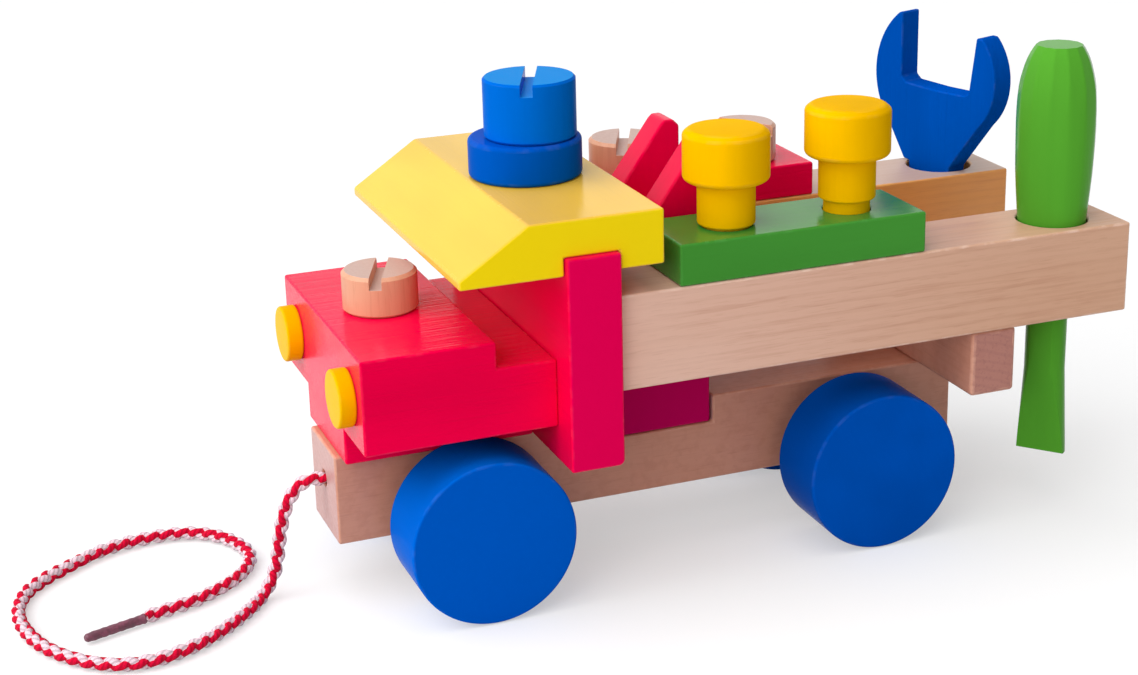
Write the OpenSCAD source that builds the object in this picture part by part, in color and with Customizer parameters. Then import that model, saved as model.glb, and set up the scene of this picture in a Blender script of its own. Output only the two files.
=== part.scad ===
// Wooden construction truck with lift-out tools, hammer pegs, slotted screws and a pull cord.
// Millimetres. +X is forward, +Y is the truck's left side, +Z is up, the wheels stand on Z = 0.

/* [Wheels] */
// Diameter of the wheels
wheel_d = 60; // [54:1:62]
// Thickness of the wheels
wheel_w = 28; // [20:1:30]
// Diameter of the wooden axles
axle_d = 8; // [6:0.5:9]
// Distance between the axles
wheelbase = 152; // [140:1:156]

/* [Chassis] */
// Length of the chassis beam
chassis_len = 247; // [242:1:252]
// Width of the chassis beam
chassis_w = 33; // [31:1:36]
// Height of the chassis beam
chassis_h = 33.5; // [33:0.5:36]
// Height of the beam's underside above the floor
ground_gap = 22.5; // [21:0.5:24]

/* [Cab] */
// Length of the hood
hood_len = 69; // [65:1:76]
// Width of the hood
hood_w = 104; // [96:1:110]
// Height of the hood above its stem
hood_h = 34; // [30:1:38]
// Width of the hood's stem
stem_w = 50; // [46:1:56]
// Height of the hood's stem
stem_h = 13; // [10:0.5:16]
// Length of the low shelf behind the hood
shelf_len = 21.5; // [16:0.5:26]
// Drop from the hood's top to the shelf
shelf_drop = 9.5; // [6:0.5:14]
// Diameter of the headlights
lamp_d = 20.5; // [16:0.5:24]
// Thickness of the headlights
lamp_t = 6; // [4:0.5:8]
// Thickness of the upright cab plate
plate_t = 19.5; // [18:0.5:22]
// Width of the cab plate
plate_w = 129; // [122:1:134]
// Height of the cab plate
plate_h = 76.5; // [72:0.5:80]
// Width of the roof
roof_w = 128; // [120:0.5:130]
// Length of the roof
roof_len = 73; // [66:1:76]
// Thickness of the roof
roof_t = 19.5; // [17:0.5:22]
// Length of the roof's sloped front
roof_slope = 24.5; // [18:0.5:28]

/* [Load bed] */
// Length of the side rails
rail_len = 206; // [200:1:212]
// Width of the side rails
rail_w = 33.5; // [32:0.5:34]
// Height of the side rails
rail_h = 34.5; // [32:0.5:36]
// Clear gap between the rails
bed_gap = 51.5; // [50:0.5:53]
// Height of the rear crossbar
crossbar_h = 25; // [24:0.5:27]
// Length of the green strip; the red one is a little shorter
strip_len = 95.5; // [92:0.5:98]
// Thickness of the green strip
green_h = 15; // [12:0.5:17]
// Thickness of the red strip
red_h = 13; // [12:0.5:17]
// Distance between the pegs
peg_pitch = 47.4; // [44:0.2:50]
// Distance between the screws of the red strip
screw_pitch = 50; // [46:1:52]
// Diameter of the tool holes at the rear of the rails
tool_hole_d = 26.4; // [26:0.2:27]

/* [Pegs and screws] */
// Head diameter of the yellow pegs
peg_head_d = 30.8; // [26:0.4:32]
// Neck diameter of the yellow pegs
peg_neck_d = 20.6; // [18.6:0.5:23]
// Tip diameter of the yellow pegs
peg_tip_d = 16.8; // [14:0.4:17.2]
// Height of the rear peg above its driven-in place
peg_raise = 4; // [2:0.5:6]
// Head diameter of the natural screws
screw_head_d = 26.8; // [24:0.4:28]
// Shank diameter of the natural screws
screw_shank_d = 14; // [12:0.5:15]
// Head diameter of the roof bolt
bolt_head_d = 33; // [29:0.5:34]
// Shank diameter of the roof bolt
bolt_shank_d = 12; // [10:0.5:13]

/* [Tools] */
// Width of the hammer's claw
claw_w = 46; // [42:0.5:47]
// Gap between the two prongs of the claw
claw_gap = 20; // [16:0.5:22]
// Radius of the wrench's head
wrench_r = 32; // [31:0.5:34]
// Opening of the wrench's jaw
jaw_w = 38; // [34:0.5:40]
// Thickness of the wrench
wrench_t = 10; // [8:0.5:11]
// Largest diameter of the screwdriver's handle
driver_d = 29.4; // [27:0.2:29.6]

/* [Cord] */
// Diameter of the pull cord
cord_d = 5; // [4:0.5:5.5]

/* [Hidden] */
$fn = 64;
// Radius of the eased long edges of sawn pieces
ease = 1;
// Radial clearance of a shaft that turns or slides in its hole
run = 0.05;
// Gap between faces that only rest on each other
rest_gap = 0.2;

// Heights
axle_z = wheel_d / 2;
beam_top = ground_gap + chassis_h;
hood_low = beam_top + stem_h;
hood_top = hood_low + hood_h;
plate_top = beam_top + plate_h;
roof_groove = 6.5;
roof_low = plate_top - roof_groove;
roof_top = roof_low + roof_t;
rail_low = beam_top + crossbar_h;
rail_top = rail_low + rail_h;
ring_h = 14.2;
ring_r = 20.3;
ring_hole_d = bolt_shank_d + 6;
ring_top = roof_top + ring_h;

// Lengthwise places, measured forward from the rear end of the rails
overall_len = rail_len + plate_t + hood_len + lamp_t;
plate_rear = rail_len;
plate_front = plate_rear + plate_t;
plate_mid = plate_rear + plate_t / 2;
hood_rear = plate_front;
hood_front = hood_rear + hood_len;
beam_front = hood_front + 2;
beam_rear = beam_front - chassis_len;
front_axle_x = hood_rear + 25;
rear_axle_x = front_axle_x - wheelbase;
hood_screw_x = hood_front - 22.3;
roof_rear = plate_rear - 16.5;
crossbar_t = 18.5;
crossbar_rear = beam_rear - 2.5;
crossbar_w = 116.5;
strip_front = plate_rear - 23.5;
peg_mid = strip_front - strip_len / 2 - 0.8;
red_len = strip_len - 1.5;
screw_mid = strip_front - red_len / 2 + 1.1;
tool_x = 22;
head_len = 36;
head_front = roof_rear - 1.2;
head_rear = head_front - head_len;
notch_depth = 10.5;
notch_floor = beam_top - notch_depth;

// Sideways places, measured from the middle of the truck
wheel_inner = stem_w / 2 + 1.2;
hub_len = wheel_inner - chassis_w / 2 - 0.6;
rail_mid = (bed_gap + rail_w) / 2;
// the roof stands a little off the middle, and the loose ring and its bolt are not quite in line
roof_left = 62.25;
ring_x = plate_mid + 1;
ring_y = 0.7;
bolt_x = plate_mid - 0.6;
bolt_y = 2.5;
// the tool holes are drilled a little off the rails' middles
driver_x = tool_x + 1;
driver_y = rail_mid - 0.8;
wrench_hole_x = tool_x - 0.65;
wrench_hole_y = -rail_mid - 2;
wrench_hole_d = tool_hole_d - 0.6;
lamp_y = 36;
lamp_z = hood_top - 17.5;
wrench_turn = 18;

// Origin: middle of the truck's box on the floor. The wrench reaches furthest out on the right side.
right_reach = rail_mid + wrench_r * cos(wrench_turn) + wrench_t / 2 * sin(wrench_turn);
origin_x = overall_len / 2;
origin_y = (plate_w / 2 - right_reach) / 2;

// Screws, bolt and pegs
screw_head_h = 14.5;
screw_chamfer = 1.2;
screw_len = 66;
strip_screw_len = 32;
bolt_head_h = 21.4;
slot_w = 4.4;
slot_d = 4.2;
roof_slot = 67;
hood_slot = 68;
strip_slots = [120, 65];
peg_head_h = 18.7;
peg_neck_h = 15.5;
peg_tip_len = 34;
peg_hole_floor = rail_top + green_h - peg_tip_len - 2;

// Tools
claw_slot_floor = rail_top + 2;
head_top = rail_top + 40.7;
handle_d = 20;
handle_z = rail_low + handle_d / 2 + 0.4;
handle_rear = 30;
wrench_mid_z = rail_top + 34;
wrench_foot_z = rail_low - 21;
blade_turn = 40;

// Cord: route of its middle from the beam's nose, as [forward, left, height], then along the floor
cord_hole_z = 42;
cord_hole_len = 14;
cord_r = cord_d / 2;
cord_z = cord_r + 0.1;
cord_drop = [
    [-12, 0, 42], [0, 0, 42], [4, 0, 42.2], [8, 0, 41.4], [11.5, 0, 38.5], [14, 0, 34.5], [16, 0, 29],
    [17.5, 0, 23], [18.5, 0, 17], [19.5, 0, 12], [21, 0.5, 8], [23.5, 2, 4.5]
];
cord_floor = [
    [27, 5.5], [31.5, 11.5], [37, 17.5], [44, 24], [52, 30], [61, 34.5], [70.5, 37], [80.5, 36], [89.5, 31],
    [98, 22], [104.5, 10.5], [108, -2], [109, -13.5], [107.5, -24], [103.5, -33.5], [96.5, -41.5], [88, -48],
    [78, -55], [68, -59.5], [58, -61.5], [47, -61.5], [36.5, -58], [28.5, -50], [24, -40], [23, -30], [26.5, -20.5],
    [33, -12.5], [41, -6.5], [49, -2], [57, 0.5], [68, 4]
];
cord_path = concat(cord_drop, [for (p = cord_floor) [p[0], p[1], cord_z]]);
cord_sides = 10;
sleeve_d = 3.6;
sleeve_len = 23;

natural = "#dcb896";
red = "#d80c3c";
yellow = "#f7c600";
blue = "#0a4fb4";
green = "#3f8f36";

// Moves a shape from truck places (rear end, middle, floor) to the part's own origin
module placed(x = 0, y = 0, z = 0) {
    translate([x - origin_x, y - origin_y, z]) children();
}

// Rectangle with round corners, standing on the X axis and centred on the Y axis
module eased_rect(w, h, r = ease) {
    translate([-w / 2 + r, 0]) square([w - 2 * r, h]);
    translate([-w / 2, r]) square([w, h - 2 * r]);
    for (x = [-1, 1], y = [r, h - r])
        translate([x * (w / 2 - r), y]) circle(r);
}

// Sawn bar along X with eased long edges, its rear end and underside at the origin
module bar_along(len, w, h) {
    rotate([90, 0, 90]) linear_extrude(len) eased_rect(w, h);
}

// Sawn bar across the truck, its middle and underside at the origin
module bar_across(t, w, h) {
    translate([0, w / 2, 0]) rotate([90, 0, 0]) linear_extrude(w) eased_rect(t, h);
}

// Upright hole of the given radius between two heights
module bore(r, low, high) {
    translate([0, 0, low]) cylinder(r = r, h = high - low);
}

// Dowel or hole along X, starting at the origin
module rod_along(r, len) {
    rotate([0, 90, 0]) cylinder(r = r, h = len);
}

// Axle or axle hole across the truck, centred on the origin
module rod_across(r, len) {
    rotate([90, 0, 0]) cylinder(r = r, h = len, center = true);
}

// Disc outline for turning: radius, thickness and edge radius
module disc_profile(r, t, edge) {
    square([r - edge, t]);
    translate([0, edge]) square([r, t - 2 * edge]);
    for (y = [edge, t - edge])
        translate([r - edge, y]) circle(edge);
}

// Slotted wooden screw with its head's underside at the origin and its shank below
module slotted_screw(head_d, head_h, chamfer, shank_d, shank_len, slot_turn) {
    difference() {
        union() {
            rotate_extrude()
                polygon([
                    [0, 0], [head_d / 2 - 0.8, 0], [head_d / 2, 0.8], [head_d / 2, head_h - chamfer],
                    [head_d / 2 - chamfer, head_h], [0, head_h]
                ]);
            translate([0, 0, 2 - shank_len])
                cylinder(d = shank_d, h = shank_len);
            translate([0, 0, -shank_len])
                cylinder(d1 = shank_d - 3, d2 = shank_d, h = 2);
        }
        rotate(slot_turn)
            translate([-head_d, -slot_w / 2, head_h - slot_d])
                cube([2 * head_d, slot_w, slot_d + 1]);
    }
}

// Turned hammer peg with the shoulder under its neck at the origin
module hammer_peg() {
    head_r = peg_head_d / 2;
    neck_r = peg_neck_d / 2;
    tip_r = peg_tip_d / 2;
    neck_top = peg_neck_h;
    top = neck_top + peg_head_h;
    rotate_extrude()
        polygon([
            [0, -peg_tip_len], [tip_r - 2, -peg_tip_len], [tip_r, 2 - peg_tip_len], [tip_r, 0], [neck_r, 0],
            [neck_r, neck_top], [head_r - 1.5, neck_top], [head_r, neck_top + 1.2], [head_r, top - 1.8],
            [head_r - 2.2, top], [0, top]
        ]);
}

// Wheel with eased rims and an inner hub, its inner face at the origin, with a blind axle hole
module wheel() {
    rotate([-90, 0, 0])
        difference() {
            union() {
                rotate_extrude() disc_profile(wheel_d / 2, wheel_w, 1.5);
                translate([0, 0, -hub_len]) cylinder(d = 22, h = hub_len + 1);
            }
            translate([0, 0, -hub_len - 1]) cylinder(d = axle_d, h = hub_len + 1 + wheel_w * 0.6);
        }
}

module chassis_beam() {
    color(natural)
        difference() {
            placed(beam_rear, 0, ground_gap)
                bar_along(chassis_len, chassis_w, chassis_h);
            for (x = [front_axle_x, rear_axle_x])
                placed(x, 0, axle_z) rod_across(axle_d / 2 + run, chassis_w + 2);
            // notch that takes the hammer's striking end
            placed(head_rear - 1, -chassis_w, notch_floor)
                cube([head_len + 2, 2 * chassis_w, notch_depth + 1]);
            placed(hood_screw_x) bore(screw_shank_d / 2 + run, hood_top - screw_len - 2, beam_top + 1);
            placed(bolt_x, bolt_y) bore(bolt_shank_d / 2 + run, notch_floor - 5, beam_top + 1);
            placed(beam_front - cord_hole_len, 0, cord_hole_z) rod_along(cord_r + 0.4, cord_hole_len + 1);
            crossbar_dowel_places(beam_top, true) bore(4, -14, 1);
        }
}

module hood_block() {
    color(red)
        difference() {
            union() {
                placed(hood_rear, 0, hood_low) bar_along(hood_len, hood_w, hood_h);
                placed(hood_rear, -stem_w / 2, beam_top) cube([hood_len, stem_w, stem_h + 1]);
            }
            placed(hood_rear - 1, -hood_w, hood_top - shelf_drop)
                cube([shelf_len + 1, 2 * hood_w, shelf_drop + 1]);
            placed(hood_screw_x) bore(screw_shank_d / 2 + run, beam_top - 1, hood_top + 1);
            for (side = [-1, 1])
                placed(hood_front - 9, side * lamp_y, lamp_z) rod_along(5, 10);
        }
}

module headlight(side) {
    color(yellow)
        placed(hood_front, side * lamp_y, lamp_z) {
            rotate([90, 0, 90]) rotate_extrude() disc_profile(lamp_d / 2, lamp_t, 1);
            translate([-8, 0, 0]) rod_along(5, 8);
        }
}

module headlight_left() {
    headlight(1);
}

module headlight_right() {
    headlight(-1);
}

module hood_screw() {
    color(natural)
        placed(hood_screw_x, 0, hood_top + rest_gap)
            slotted_screw(screw_head_d, screw_head_h, screw_chamfer, screw_shank_d, screw_len, hood_slot);
}

module cab_plate() {
    color(red)
        difference() {
            placed(plate_mid, 0, beam_top)
                linear_extrude(plate_h)
                    translate([0, -plate_w / 2]) eased_rect(plate_t, plate_w);
            placed(bolt_x, bolt_y) bore(bolt_shank_d / 2 + run, beam_top - 1, plate_top + 1);
            rail_dowel_places() rod_along(5, 12);
        }
}

module cab_roof() {
    nose = 3.3;
    color(yellow)
        difference() {
            placed(roof_rear, roof_left, roof_low)
                rotate([90, 0, 0])
                    linear_extrude(roof_w)
                        polygon([
                            [0, 0], [roof_len, 0], [roof_len, nose], [roof_len - roof_slope, roof_t], [0, roof_t]
                        ]);
            placed(plate_rear - rest_gap, -roof_w, roof_low - 1)
                cube([plate_t + 2 * rest_gap, 2 * roof_w, roof_groove + 1]);
            placed(bolt_x, bolt_y) bore(bolt_shank_d / 2 + run, roof_low, roof_top + 1);
        }
}

module roof_ring() {
    color(blue)
        placed(ring_x, ring_y, roof_top)
            difference() {
                rotate_extrude() disc_profile(ring_r, ring_h, 2);
                translate([0, 0, -1]) cylinder(d = ring_hole_d, h = ring_h + 2);
            }
}

module roof_bolt() {
    color(blue)
        placed(bolt_x, bolt_y, ring_top + rest_gap)
            slotted_screw(
                bolt_head_d, bolt_head_h, 0.8, bolt_shank_d, ring_top - notch_floor + 3, roof_slot
            );
}

// Side rail on one side: 1 is left, -1 is right
module rail(side) {
    hole_r = side > 0 ? peg_tip_d / 2 : screw_shank_d / 2;
    color(natural)
        difference() {
            placed(0, side * rail_mid, rail_low) bar_along(rail_len, rail_w, rail_h);
            tool_hole_place(side) bore((side > 0 ? tool_hole_d : wrench_hole_d) / 2, rail_low - 1, rail_top + 1);
            strip_hole_places(side) bore(hole_r + run, peg_hole_floor, rail_top + 1);
            rail_dowel_places() translate([-20, 0, 0]) rod_along(5, 21);
            crossbar_dowel_places(rail_low, false) bore(5, -1, 18);
        }
}

// Puts a shape at the two holes of the strip on one side, at the floor's height
module strip_hole_places(side) {
    mid = side > 0 ? peg_mid : screw_mid;
    pitch = side > 0 ? peg_pitch : screw_pitch;
    for (end = [-1, 1])
        placed(mid + end * pitch / 2, side * rail_mid) children();
}

// Puts a shape at the tool hole on one side, at the floor's height
module tool_hole_place(side) {
    if (side > 0)
        placed(driver_x, driver_y) children();
    else
        placed(wrench_hole_x, wrench_hole_y) children();
}

module left_rail() {
    rail(1);
}

module right_rail() {
    rail(-1);
}

module rear_crossbar() {
    color(natural)
        difference() {
            placed(crossbar_rear + crossbar_t / 2, 0, beam_top)
                bar_across(crossbar_t, crossbar_w, crossbar_h);
            crossbar_dowel_places(rail_low, false) bore(5, -15, 1);
            crossbar_dowel_places(beam_top, true) bore(4, -1, 14);
        }
}

// Board on top of a rail with its two holes
module strip(side, len, h, hole_r) {
    difference() {
        placed(strip_front - len, side * rail_mid, rail_top) bar_along(len, rail_w, h);
        strip_hole_places(side) bore(hole_r + run, rail_top - 1, rail_top + h + 1);
    }
}

module green_strip() {
    color(green) strip(1, strip_len, green_h, peg_tip_d / 2);
}

module red_strip() {
    color(red) strip(-1, red_len, red_h, screw_shank_d / 2);
}

// Peg in the left strip, lifted above its driven-in place
module peg(end, lift) {
    color(yellow)
        placed(peg_mid + end * peg_pitch / 2, rail_mid, rail_top + green_h + rest_gap + lift)
            hammer_peg();
}

module peg_front() {
    peg(1, 0.4);
}

module peg_rear() {
    peg(-1, peg_raise);
}

// Screw in the red strip: 1 is the front one, 0 the rear one
module strip_screw(end) {
    color(natural)
        placed(screw_mid + (end - 0.5) * screw_pitch, -rail_mid, rail_top + red_h + rest_gap)
            slotted_screw(
                screw_head_d, screw_head_h, screw_chamfer, screw_shank_d, strip_screw_len, strip_slots[end]
            );
}

module strip_screw_front() {
    strip_screw(1);
}

module strip_screw_rear() {
    strip_screw(0);
}

// Hammer head: a narrow striking end below, a wide body with the handle's hole, and a forked, sloped claw
module hammer_head() {
    low = notch_floor + rest_gap;
    shoulder = low + 22;
    flare = (claw_w - chassis_w) / 2;
    slope_foot = rail_top;
    color(red)
        difference() {
            // side outline with the claw's slope, cut to the front outline with its shoulders
            intersection() {
                placed(head_rear, claw_w, 0)
                    rotate([90, 0, 0])
                        linear_extrude(2 * claw_w)
                            difference() {
                                union() {
                                    translate([0, low]) square([head_len, slope_foot - low]);
                                    polygon([
                                        [0, slope_foot - 1], [head_len, slope_foot - 1], [head_len, slope_foot],
                                        [7.5, head_top - 1.5], [6, head_top], [2.5, head_top], [0, head_top - 2.5]
                                    ]);
                                }
                            }
                placed(head_rear - 1, 0, 0)
                    rotate([90, 0, 90])
                        linear_extrude(head_len + 2)
                            polygon([
                                [-chassis_w / 2, low], [chassis_w / 2, low], [chassis_w / 2, shoulder],
                                [claw_w / 2, shoulder + flare], [claw_w / 2, head_top + 1],
                                [-claw_w / 2, head_top + 1], [-claw_w / 2, shoulder + flare],
                                [-chassis_w / 2, shoulder]
                            ]);
            }
            placed(head_rear - 1, -claw_gap / 2, claw_slot_floor)
                cube([head_len + 2, claw_gap, head_top]);
            placed(head_rear - 1, 0, handle_z) rod_along(handle_d / 2, head_len + 2);
        }
}

module hammer_handle() {
    tip = 3;
    color(natural)
        placed(handle_rear, 0, handle_z)
            rotate([0, 90, 0])
                rotate_extrude()
                    polygon([
                        [0, 0], [handle_d / 2 - tip, 0], [handle_d / 2, tip], [handle_d / 2, head_front - handle_rear],
                        [0, head_front - handle_rear]
                    ]);
}

// Flat open-ended wrench standing in the right rail's tool hole, turned towards the front left
module wrench() {
    // the shank stands in the middle of the tool hole, a little left of the head's middle
    shank_mid = -1.7;
    neck = sqrt(pow(wrench_hole_d / 2, 2) - pow(wrench_t / 2 + 1.24, 2)) - 0.5;
    foot = wrench_foot_z - wrench_mid_z;
    mouth = rail_top - wrench_mid_z;
    color(blue)
        placed(tool_x, -rail_mid, wrench_mid_z)
            rotate([90, 0, 90 + wrench_turn])
                translate([0, 0, -wrench_t / 2])
                    linear_extrude(wrench_t)
                        difference() {
                            union() {
                                intersection() {
                                    translate([0, 2]) circle(wrench_r);
                                    translate([-wrench_r - 1, -wrench_r]) square([wrench_r + 1.5, 3 * wrench_r]);
                                }
                                // the right cheek is rounder than the left one
                                intersection() {
                                    translate([wrench_r - 25.6, 4.5]) circle(25.3);
                                    translate([0, -wrench_r]) square([wrench_r + 1, 3 * wrench_r]);
                                }
                                // straight cheeks that run down to the shank
                                polygon([
                                    [shank_mid + neck - 1, mouth - 0.6], [wrench_r - 5.6, -10.2],
                                    [-0.84 * wrench_r, -14.6], [-15.5, mouth + 1],
                                    [shank_mid - neck + 1.4, mouth + 0.3]
                                ]);
                                translate([shank_mid - neck, foot + neck]) square([2 * neck, -foot - neck - 12]);
                                translate([shank_mid, foot + neck]) circle(neck);
                            }
                            // jaw with a leaning right wall
                            polygon([
                                [-0.46 * jaw_w, 1], [-0.4 * jaw_w, -1], [0, -1.8], [0.42 * jaw_w, -1.8],
                                [0.48 * jaw_w, -0.4], [0.6 * jaw_w, wrench_r], [0.6 * jaw_w, wrench_r + 8],
                                [-0.46 * jaw_w, wrench_r + 8]
                            ]);
                            // blunt prong tips, the left one longer
                            translate([-wrench_r - 1, 27.5]) square([wrench_r + 1, wrench_r]);
                            translate([0, 22.4]) square([wrench_r + 1, wrench_r]);
                        }
}

// Turned screwdriver: barrel handle that narrows into the tool hole, round shank and flared flat blade
module screwdriver() {
    shoulder = -19;
    shank_r = 7.7;
    tip = 22 - rail_top;
    // radius and height of the barrel handle above the rail's top, at a diameter of 29.4
    barrel = [
        [12.8, 0], [13.3, 6], [13.8, 12], [14.2, 18], [14.45, 24], [14.6, 30], [14.7, 36], [14.66, 42], [14.5, 46],
        [14.15, 50], [13.65, 53], [13, 55.7], [12.3, 58.2], [11.45, 60.6], [10.5, 62.7], [9.4, 64.6], [8.4, 66]
    ];
    color(green)
        placed(driver_x, driver_y, rail_top)
            difference() {
                rotate_extrude()
                    polygon(concat(
                        [[0, tip], [9.4, tip], [shank_r, tip + 34], [shank_r, shoulder], [11, shoulder + 5]],
                        [for (p = barrel) [p[0] * driver_d / 29.4, p[1]]],
                        [[0, 66]]
                    ));
                // flats that thin the shank down to the blade's edge
                for (side = [0, 180])
                    rotate(90 + blade_turn + side)
                        translate([-15, 0, 0])
                            rotate([90, 0, 90])
                                linear_extrude(30)
                                    polygon([[1.5, tip - 1], [20, tip - 1], [20, tip + 50], [8.7, tip + 50]]);
            }
}

module axle(x) {
    color(natural) placed(x, 0, axle_z) rod_across(axle_d / 2, 2 * (wheel_inner + wheel_w * 0.6 - 0.5));
}

module front_axle() {
    axle(front_axle_x);
}

module rear_axle() {
    axle(rear_axle_x);
}

// Wheel on one end of an axle: 1 is left, -1 is right
module axle_wheel(x, side) {
    color(blue)
        placed(x, side * wheel_inner, axle_z)
            rotate(side > 0 ? 0 : 180) wheel();
}

module front_left_wheel() {
    axle_wheel(front_axle_x, 1);
}

module front_right_wheel() {
    axle_wheel(front_axle_x, -1);
}

module rear_left_wheel() {
    axle_wheel(rear_axle_x, 1);
}

module rear_right_wheel() {
    axle_wheel(rear_axle_x, -1);
}

// Puts a shape at the dowels between the cab plate and the two rails
module rail_dowel_places() {
    for (side = [-1, 1], z = [9, rail_h - 9])
        placed(plate_rear, side * rail_mid, rail_low + z) children();
}

module rail_dowels() {
    color(natural) rail_dowel_places() translate([-19, 0, 0]) rod_along(5, 30);
}

// Puts a shape at the crossbar's dowels: the beam's pair or the rails' pair
module crossbar_dowel_places(z, in_beam) {
    for (side = [-1, 1])
        placed(crossbar_rear + crossbar_t / 2 + (in_beam ? 1 : 0), side * (in_beam ? 9 : rail_mid), z) children();
}

module crossbar_dowels() {
    color(natural) {
        crossbar_dowel_places(rail_low, false) bore(5, -14, 17);
        crossbar_dowel_places(beam_top, true) bore(4, -13, 13);
    }
}

// Unit vector along the cord at a point of its route
function along(path, i) =
    let (d = path[min(i + 1, len(path) - 1)] - path[max(i - 1, 0)]) d / norm(d);

// Ring of points around the cord at a point of its route
function ring(path, i, r, sides) =
    let (t = along(path, i), s = cross([0, 0, 1], t) / norm(cross([0, 0, 1], t)), u = cross(t, s))
    [for (k = [0 : sides - 1]) path[i] + r * (cos(360 * k / sides) * s + sin(360 * k / sides) * u)];

// Round tube swept along a route
module tube(path, r, sides) {
    n = len(path);
    points = [for (i = [0 : n - 1]) each ring(path, i, r, sides)];
    walls = [
        for (i = [0 : n - 2], k = [0 : sides - 1])
            let (a = i * sides + k, b = i * sides + (k + 1) % sides)
            each [[a, a + sides, b], [b, a + sides, b + sides]]
    ];
    caps = [[for (k = [0 : sides - 1]) k], [for (k = [sides - 1 : -1 : 0]) (n - 1) * sides + k]];
    polyhedron(points, concat(walls, caps));
}

module pull_cord() {
    color("#e0607a") placed(beam_front) tube(cord_path, cord_r, cord_sides);
}

module cord_sleeve() {
    last = len(cord_path) - 1;
    dir = along(cord_path, last);
    color("#7d4b5a")
        placed(beam_front)
            translate(cord_path[last] - [0, 0, 0.4])
                rotate([0, 90, atan2(dir[1], dir[0])])
                    cylinder(d = sleeve_d, h = sleeve_len);
}

chassis_beam();
hood_block();
headlight_left();
headlight_right();
hood_screw();
cab_plate();
cab_roof();
roof_ring();
roof_bolt();
left_rail();
right_rail();
rear_crossbar();
green_strip();
red_strip();
peg_front();
peg_rear();
strip_screw_front();
strip_screw_rear();
hammer_head();
hammer_handle();
wrench();
screwdriver();
front_axle();
rear_axle();
front_left_wheel();
front_right_wheel();
rear_left_wheel();
rear_right_wheel();
rail_dowels();
crossbar_dowels();
pull_cord();
cord_sleeve();
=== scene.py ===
"""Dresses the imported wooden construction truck: eased blocks, turned pegs, tools and a braided cord."""

import math

import bmesh
import bpy
from mathutils import Matrix, Vector


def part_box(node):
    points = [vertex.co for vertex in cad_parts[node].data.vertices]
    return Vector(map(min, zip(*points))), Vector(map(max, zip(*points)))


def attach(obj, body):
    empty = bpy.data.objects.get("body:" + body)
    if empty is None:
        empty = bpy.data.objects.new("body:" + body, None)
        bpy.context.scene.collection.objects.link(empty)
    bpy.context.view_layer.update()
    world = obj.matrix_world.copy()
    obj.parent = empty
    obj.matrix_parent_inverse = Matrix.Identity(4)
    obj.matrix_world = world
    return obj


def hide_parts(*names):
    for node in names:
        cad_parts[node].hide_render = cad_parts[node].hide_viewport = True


bl_info = {
    "name": "Wooden Construction Truck",
    "version": (1, 0, 0),
    "blender": (4, 5, 0),
    "location": "View3D > Sidebar > Truck",
    "description": "Builds the painted blocks, turned pegs, tools and braided cord of a wooden toy truck",
    "category": "Object",
}

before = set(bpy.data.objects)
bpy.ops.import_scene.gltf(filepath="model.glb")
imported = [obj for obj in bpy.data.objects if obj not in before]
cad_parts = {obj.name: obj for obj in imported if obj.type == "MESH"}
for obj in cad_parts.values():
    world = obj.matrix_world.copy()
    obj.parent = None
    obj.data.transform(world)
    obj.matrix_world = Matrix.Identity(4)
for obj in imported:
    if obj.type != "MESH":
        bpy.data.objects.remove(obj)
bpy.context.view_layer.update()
MID_Y = sum(c.y for c in map(Vector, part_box("chassis_beam"))) / 2
PEGS, STRIP_SCREWS = ("peg_front", "peg_rear"), ("strip_screw_front", "strip_screw_rear")
PEG_HOLE, SCREW_HOLE = 0.00845, 0.00705  # radii
OVER = 0.01  # how far a cutter reaches past the piece it cuts
WELD = 1e-6  # points nearer than this are merged


def metres(name, description, default, **limits):
    return bpy.props.FloatProperty(name=name, description=description, default=default, unit="LENGTH", **limits)


def tint(name, description, default):
    return bpy.props.FloatVectorProperty(name=name, description=description, default=default, subtype="COLOR", size=3)


class TruckSizes(bpy.types.PropertyGroup):
    """Sizes of the truck's finish that the frame doesn't give."""

    edge: metres("Edge radius", "Rounding of the sawn and sanded edges", 0.0009, min=0.0003, max=0.003)
    turn_steps: bpy.props.IntProperty(
        name="Turning steps", description="Faces round a turned piece", default=96, min=24, max=192)
    slot_width: metres("Slot width", "Width of the slots in screws and bolt", 0.0044)
    slot_depth: metres("Slot depth", "Depth of the slots in screws and bolt", 0.0042)
    stem_width: metres("Stem width", "Width of the hood's stem", 0.050)
    stem_height: metres("Stem height", "Height of the hood's stem", 0.013)
    shelf_length: metres("Shelf length", "Length of the low shelf behind the hood", 0.0215)
    shelf_drop: metres("Shelf drop", "Step from the hood's top to the shelf", 0.0095)
    claw_gap: metres("Claw gap", "Gap between the hammer's prongs", 0.020)
    jaw_width: metres("Jaw width", "Opening of the wrench", 0.038)
    cord_diameter: metres("Cord diameter", "Diameter of the braided cord", 0.005)
    braid_turn: metres("Braid turn", "Length of one full turn of a strand", 0.0116)


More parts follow.
